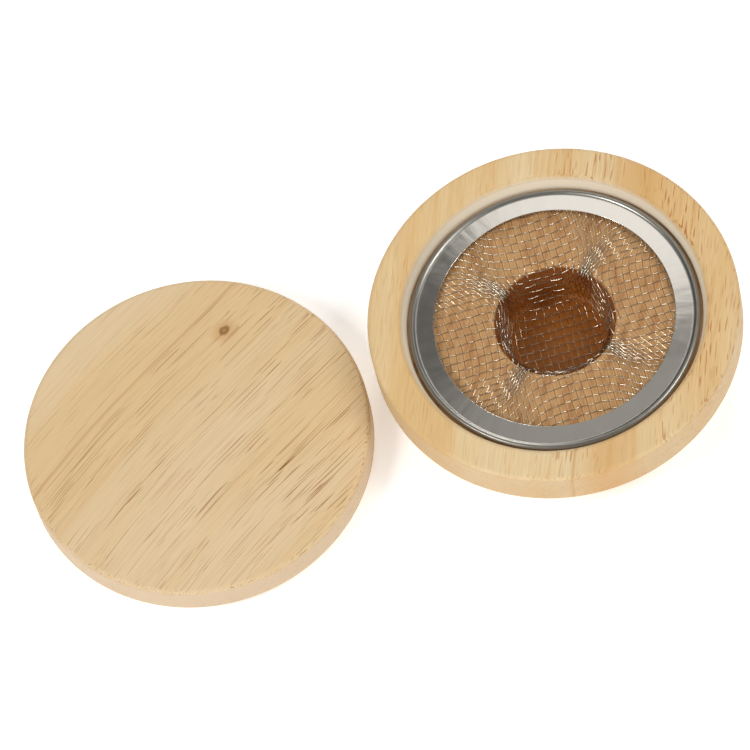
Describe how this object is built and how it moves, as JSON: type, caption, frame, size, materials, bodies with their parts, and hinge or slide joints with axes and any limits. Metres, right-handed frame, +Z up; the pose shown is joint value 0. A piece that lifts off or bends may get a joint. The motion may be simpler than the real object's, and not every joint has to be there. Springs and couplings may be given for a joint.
{
  "type": "tea strainer",
  "caption": "Round wooden strainer base holding a steel-rimmed wire mesh basket with a central pit, with a flat round wooden lid lying beside it.",
  "frame": {"origin": "centre of the wooden base's foot, on the table", "axes": "+Z up along the base's axis, -X towards the lid lying beside it"},
  "size_m": [0.178, 0.09, 0.0215],
  "materials": {
    "base_wood": "sanded rubberwood, honey tone, lightly oiled",
    "lid_wood": "sanded rubberwood, pale cream tone, unvarnished",
    "rim_steel": "pressed stainless sheet, satin",
    "wire_steel": "drawn stainless wire, plain weave"
  },
  "bodies": {
    "base": {"wooden_base": "base_wood"},
    "strainer": {"steel_rim": "rim_steel", "clinch_ring": "rim_steel", "mesh_cloth": "wire_steel"},
    "lid": {"wooden_lid": "lid_wood"}
  },
  "joints": [
    {"name": "strainer_lift", "type": "slide", "parent": "base", "child": "strainer", "axis": [0, 0, 1], "range_m": [0, 0.03]},
    {"name": "lid_lift", "type": "slide", "parent": "base", "child": "lid", "axis": [0, 0, 1], "range_m": [0, 0.03]}
  ]
}
